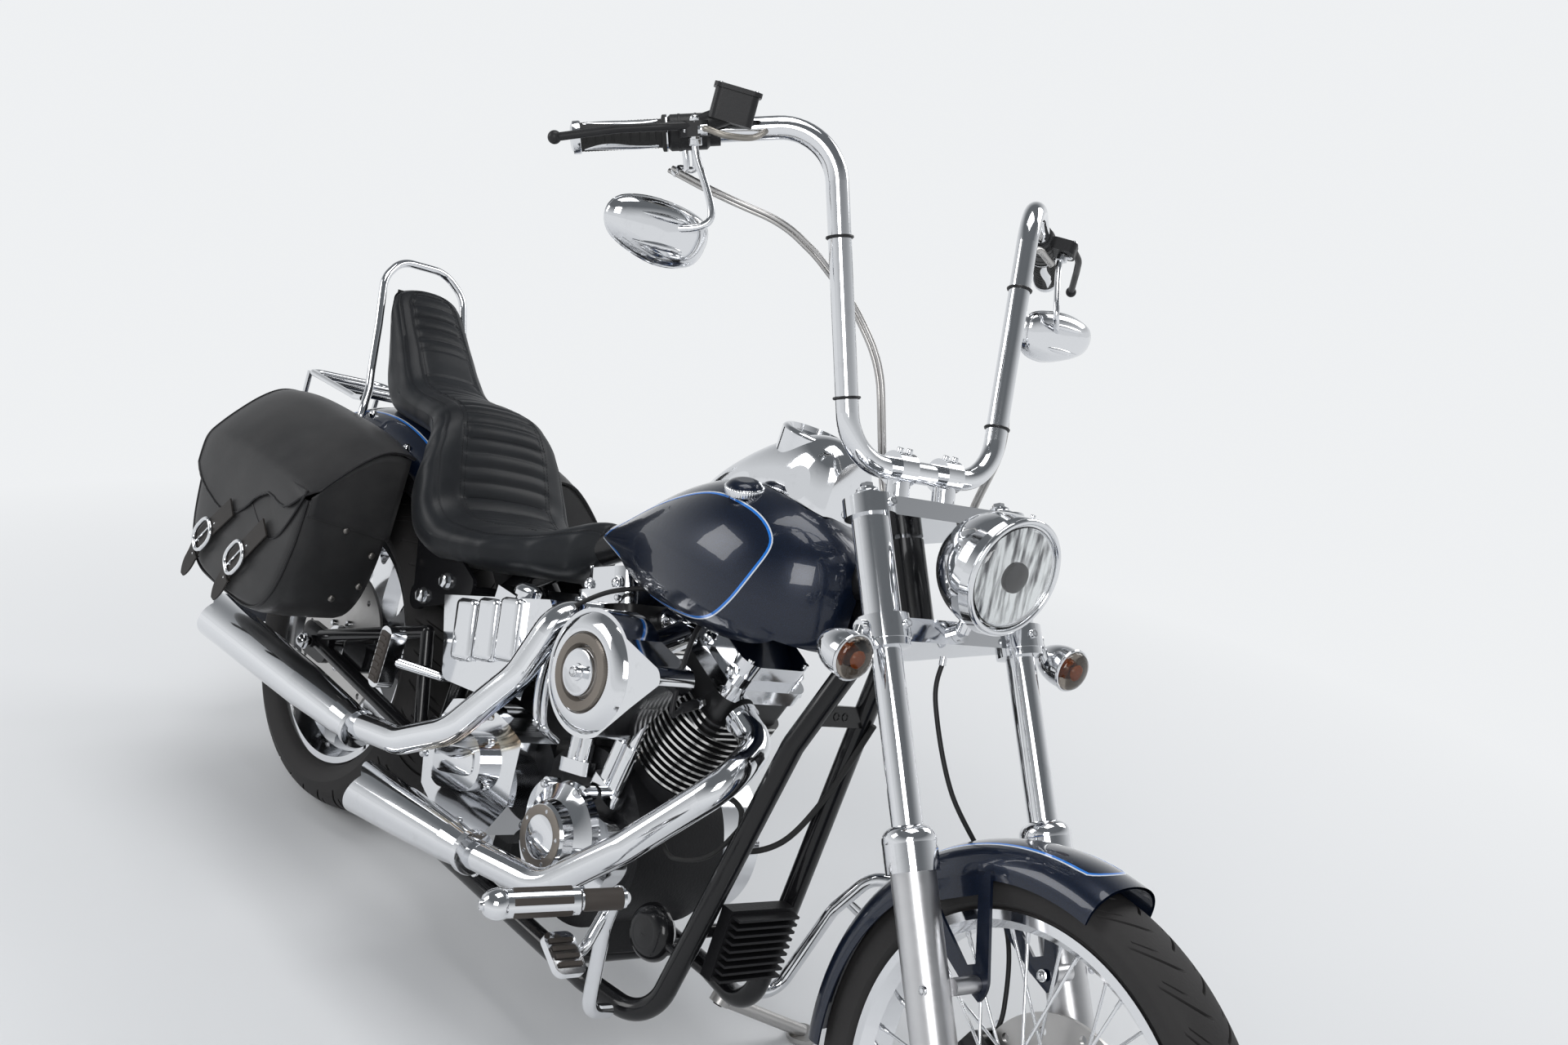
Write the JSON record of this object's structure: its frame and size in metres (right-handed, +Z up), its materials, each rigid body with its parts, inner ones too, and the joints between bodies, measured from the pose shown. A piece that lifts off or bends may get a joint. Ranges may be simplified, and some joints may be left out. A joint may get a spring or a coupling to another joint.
{
  "type": "chopper motorcycle",
  "caption": "Long-fork cruiser motorcycle with tall bars, open V-twin engine, leather bags and side stand.",
  "frame": {"origin": "on the floor, under the middle of the leaning motorcycle's bounding box", "axes": "+X forward along the wheelbase, +Y to the rider's left, +Z up; the motorcycle leans 12 degrees to +Y on its side stand"},
  "size_m": [2.5227, 1.182, 1.5218],
  "materials": {
    "chrome": "polished",
    "bag_leather": "satin",
    "steel": "brushed",
    "engine_black": "wrinkle",
    "rubber": "matte",
    "frame_black": "gloss",
    "slider_aluminium": "brushed",
    "navy_paint": "metallic gloss",
    "tyre": "satin",
    "rim_chrome": "polished",
    "black_plastic": "satin",
    "lens": "clear",
    "mirror": "polished",
    "red_lens": "gloss",
    "seat_leather": "satin"
  },
  "bodies": {
    "root": {"air_cleaner": "chrome", "cam_cover": "chrome", "cylinders": "engine_black", "drive_belt": "rubber", "engine_cases": "engine_black", "exhaust_front": "chrome", "exhaust_rear": "chrome", "fender_struts": "frame_black", "foot_controls": "chrome", "frame": "frame_black", "fuel_tank": "navy_paint", "gearbox_cover": "chrome", "luggage_rack": "chrome", "oil_tank": "chrome", "passenger_pegs": "chrome", "primary_cover": "chrome", "pushrod_tubes": "chrome", "rear_fender": "navy_paint", "rear_lamp": "red_lens", "regulator": "engine_black", "rocker_covers": "chrome", "saddlebag_left": "bag_leather", "saddlebag_right": "bag_leather", "seat": "seat_leather", "sissy_bar": "chrome", "swingarm": "frame_black", "tank_console": "chrome"},
    "steering": {"fork_upper": "chrome", "fork_sliders": "slider_aluminium", "front_fender": "navy_paint", "front_caliper": "frame_black", "handlebar": "chrome", "grips": "rubber", "hand_controls": "black_plastic", "mirrors": "mirror", "headlamp": "chrome", "headlamp_lens": "lens", "front_signals": "chrome", "control_cables": "steel"},
    "front_wheel": {"front_tyre": "tyre", "front_wheel": "rim_chrome", "front_disc": "steel"},
    "rear_wheel": {"rear_tyre": "tyre", "rear_wheel": "rim_chrome", "rear_disc": "steel", "rear_pulley": "steel"},
    "stand": {"side_stand": "steel"},
    "lid_left": {"bag_lid_left": "bag_leather"},
    "lid_right": {"bag_lid_right": "bag_leather"}
  },
  "joints": [
    {"name": "steering", "type": "hinge", "parent": "root", "child": "steering", "pos_m": [0.475, -0.0318, 0.86997], "axis": [-0.5519, 0.1734, 0.8157], "range_deg": [-24.6, 35.4]},
    {"name": "front_wheel_spin", "type": "hinge", "parent": "steering", "child": "front_wheel", "pos_m": [0.9203, -0.15158, 0.33856], "axis": [0.0785, 0.9846, -0.1562], "continuous": true},
    {"name": "rear_wheel_spin", "type": "hinge", "parent": "root", "child": "rear_wheel", "pos_m": [-0.78444, -0.14834, 0.32169], "axis": [0, 0.9781, -0.2079], "continuous": true},
    {"name": "side_stand", "type": "hinge", "parent": "root", "child": "stand", "pos_m": [0.24556, -0.04433, 0.0992], "axis": [-0.045, 0.5541, 0.8313], "range_deg": [0, 85]},
    {"name": "bag_lid_left", "type": "hinge", "parent": "root", "child": "lid_left", "pos_m": [-0.78444, 0.0903, 0.71813], "axis": [1, 0, 0], "range_deg": [0, 75]},
    {"name": "bag_lid_right", "type": "hinge", "parent": "root", "child": "lid_right", "pos_m": [-0.78444, -0.2051, 0.78092], "axis": [-1, 0, 0], "range_deg": [0, 75]}
  ]
}
